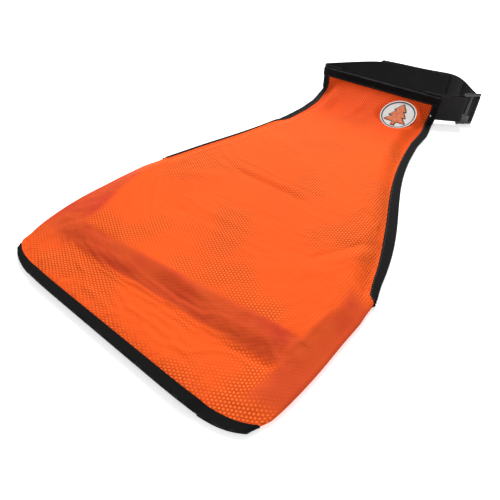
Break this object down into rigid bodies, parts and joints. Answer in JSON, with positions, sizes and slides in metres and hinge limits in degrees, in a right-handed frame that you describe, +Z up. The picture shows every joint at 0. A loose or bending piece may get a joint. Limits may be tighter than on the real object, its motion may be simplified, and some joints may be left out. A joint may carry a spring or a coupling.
{
  "type": "chainsaw chaps",
  "caption": "Apron-style chainsaw chaps: a flared padded mesh panel with bound edges, standing at the neck, on a webbing waist belt with a hook-and-loop overlap and a plastic slider.",
  "frame": {"origin": "middle of the footprint at the floor, under the flat panel", "axes": "+X across the panel, +Y from the hem to the belt, +Z up"},
  "size_m": [0.4506, 0.842, 0.062],
  "materials": {
    "mesh": "matte",
    "lining": "matte",
    "aramid": "matte",
    "tape": "matte",
    "webbing": "matte",
    "thread": "satin",
    "hook_and_loop": "matte",
    "patch_white": "satin",
    "patch_orange": "satin",
    "slider_plastic": "satin",
    "rivet_steel": "satin"
  },
  "bodies": {
    "panel": {"outer_shell": "mesh", "inner_lining": "lining", "protective_layer_1": "aramid", "protective_layer_2": "aramid", "protective_layer_3": "aramid", "protective_layer_4": "aramid", "protective_layer_5": "aramid", "protective_layer_6": "aramid", "left_binding": "tape", "right_binding": "tape", "hem_binding": "tape", "patch_base": "patch_white", "patch_rim": "patch_white", "patch_emblem": "patch_orange"},
    "neck": {"neck_shell": "mesh", "neck_lining": "lining", "top_binding": "tape", "neck_left_binding": "tape", "neck_right_binding": "tape", "left_strap": "webbing", "left_bartacks": "thread", "hook_strip": "hook_and_loop", "right_tab": "webbing", "right_bartacks": "thread", "tab_rivet": "rivet_steel"},
    "slider_frame": {"slider": "slider_plastic"},
    "outer_strap": {"right_strap": "webbing", "loop_strip": "hook_and_loop", "fold_bartacks": "thread"}
  },
  "joints": [
    {"name": "neck_fold", "type": "hinge", "parent": "panel", "child": "neck", "pos_m": [-0.00554, 0.30993, 0.0026], "axis": [1, 0, 0], "range_deg": [-90, 45]},
    {"name": "slider_turn", "type": "hinge", "parent": "neck", "child": "slider_frame", "pos_m": [0.15555, 0.33715, 0.031], "axis": [0, 0, 1], "range_deg": [-15, 0]},
    {"name": "strap_swing", "type": "hinge", "parent": "slider_frame", "child": "outer_strap", "pos_m": [0.17446, 0.35193, 0.031], "axis": [0, 0, 1], "range_deg": [-60, 0]}
  ]
}
